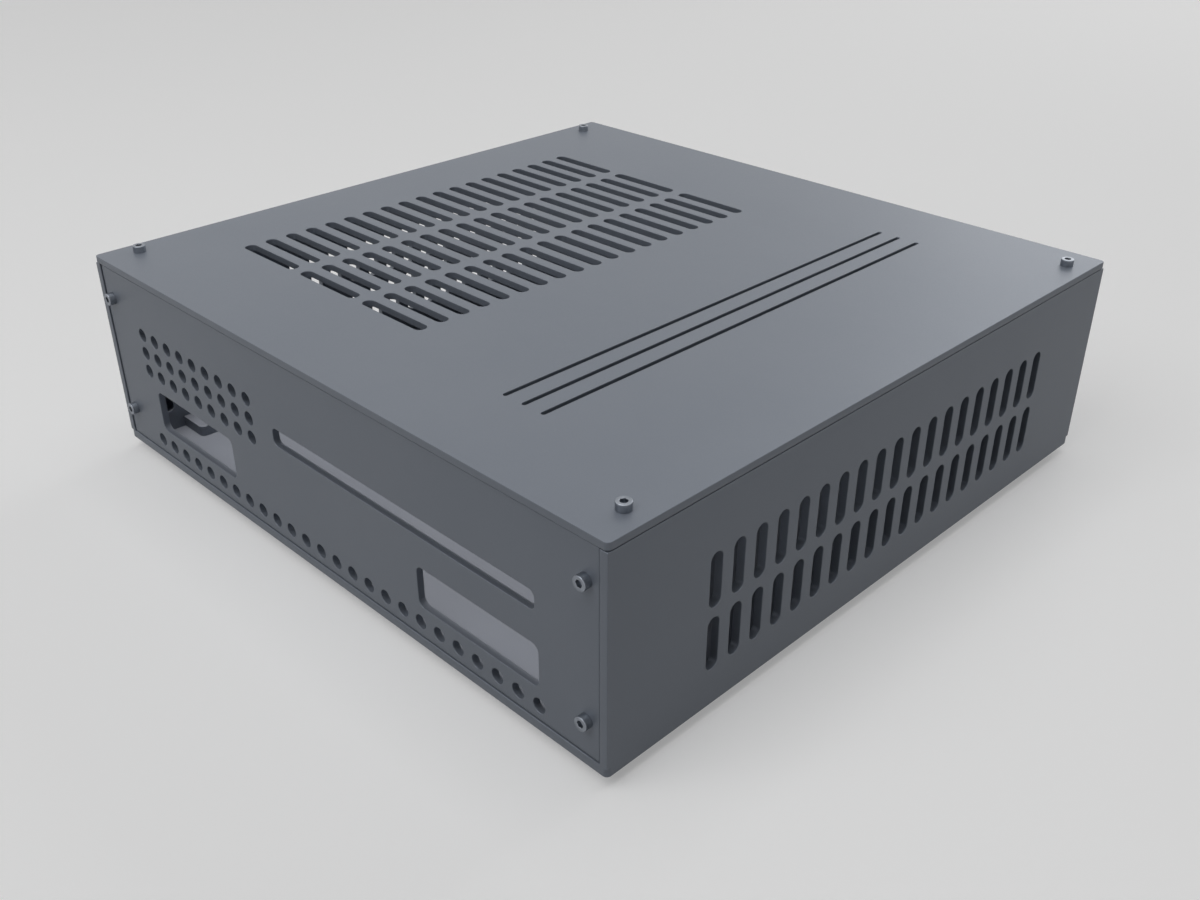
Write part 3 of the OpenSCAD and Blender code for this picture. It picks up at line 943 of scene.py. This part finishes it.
def seen_directly(tree):
    """One where the camera or a reflection looks, and zero where the light goes on to other things."""
    path = node(tree, "ShaderNodeLightPath").outputs
    looks = node(tree, "ShaderNodeMath", {
        0: path["Is Camera Ray"], 1: path["Is Glossy Ray"]}, operation="MAXIMUM")
    return node(tree, "ShaderNodeMath", {
        0: looks.outputs[0], 1: path["Is Transmission Ray"]}, operation="MAXIMUM").outputs[0]


def floor_finish():
    """A pale tone that glows more with the distance, so that the floor meets the sky without a
    line. Seen from below it is clear, so that the underside shows."""
    material, tree, shader, place = new_finish("studio_floor", Roughness=0.9, Specular_IOR_Level=0)
    seen = seen_directly(tree)
    blend(tree, shader, seen, *FLOOR_TONES)
    away = node(tree, "ShaderNodeVectorMath", {0: place}, operation="LENGTH").outputs["Value"]
    pale = node(tree, "ShaderNodeMapRange", {
        "Value": away, "From Min": FLOOR_FADE[0], "From Max": FLOOR_FADE[1],
        "To Min": FLOOR_GLOW[0], "To Max": FLOOR_GLOW[1]}, interpolation_type="SMOOTHSTEP")
    glow = node(tree, "ShaderNodeMath", {0: seen, 1: pale.outputs["Result"]}, operation="MULTIPLY")
    shader.inputs["Emission Color"].default_value = (1, 1, 1, 1)
    tree.links.new(glow.outputs[0], shader.inputs["Emission Strength"])
    below = node(tree, "ShaderNodeNewGeometry").outputs["Backfacing"]
    clear = node(tree, "ShaderNodeBsdfTransparent").outputs["BSDF"]
    surface = node(tree, "ShaderNodeMixShader", {0: below, 1: shader.outputs["BSDF"], 2: clear})
    tree.links.new(surface.outputs["Shader"], tree.nodes["Material Output"].inputs["Surface"])
    return material


def studio_floor():
    bpy.ops.object.select_all(action="DESELECT")
    bpy.ops.mesh.primitive_plane_add(size=FLOOR_SIZE, location=(0, 0, FLOOR_Z))
    floor = settle(bpy.context.object)
    floor.name = "studio_floor"
    floor.data.materials.append(floor_finish())


def studio_sky():
    """An even white that is bright to look at and lights only faintly."""
    world = bpy.data.worlds.new("studio")
    bpy.context.scene.world = world
    world.use_nodes = True
    tree = world.node_tree
    sky = tree.nodes["Background"]
    sky.inputs["Color"].default_value = (1, 1, 1, 1)
    level = node(tree, "ShaderNodeMapRange", {
        "Value": seen_directly(tree), "To Min": SKY_GLOW[0], "To Max": SKY_GLOW[1]})
    tree.links.new(level.outputs["Result"], sky.inputs["Strength"])


def soft_box(name, place, size, power, beam):
    """A rectangular lamp. A beam of half a turn is the widest."""
    bpy.ops.object.light_add(type="AREA", location=place)
    lamp = bpy.context.object
    lamp.name = name
    lamp.data.shape = "RECTANGLE"
    lamp.data.size, lamp.data.size_y = size
    lamp.data.energy = power
    lamp.data.spread = beam
    return lamp


def studio_lamps():
    for name, place, width, power, beam in SOFT_BOXES:
        lamp = soft_box(name, place, (width, width), power, beam)
        lamp.rotation_euler = (AIM - Vector(place)).to_track_quat("-Z", "Y").to_euler()
    lamp = soft_box("strip_under_lid", *UNDER_LID)
    lamp.visible_glossy = False
    lamp.data.color = UNDER_LID_COLOUR


def photo_camera():
    """A camera that sees the case as the photograph does."""
    bpy.ops.object.camera_add(location=CAMERA_PLACE)
    camera = bpy.context.object
    camera.rotation_euler = Vector(CAMERA_LOOK).to_track_quat("-Z", "Y").to_euler()
    camera.data.sensor_width = CAMERA_SENSOR
    camera.data.lens = CAMERA_LENS
    camera.data.clip_start = CAMERA_NEAR
    bpy.context.scene.camera = camera
    bpy.context.scene.view_settings.view_transform = "Standard"


studio_floor()
studio_sky()
studio_lamps()
photo_camera()
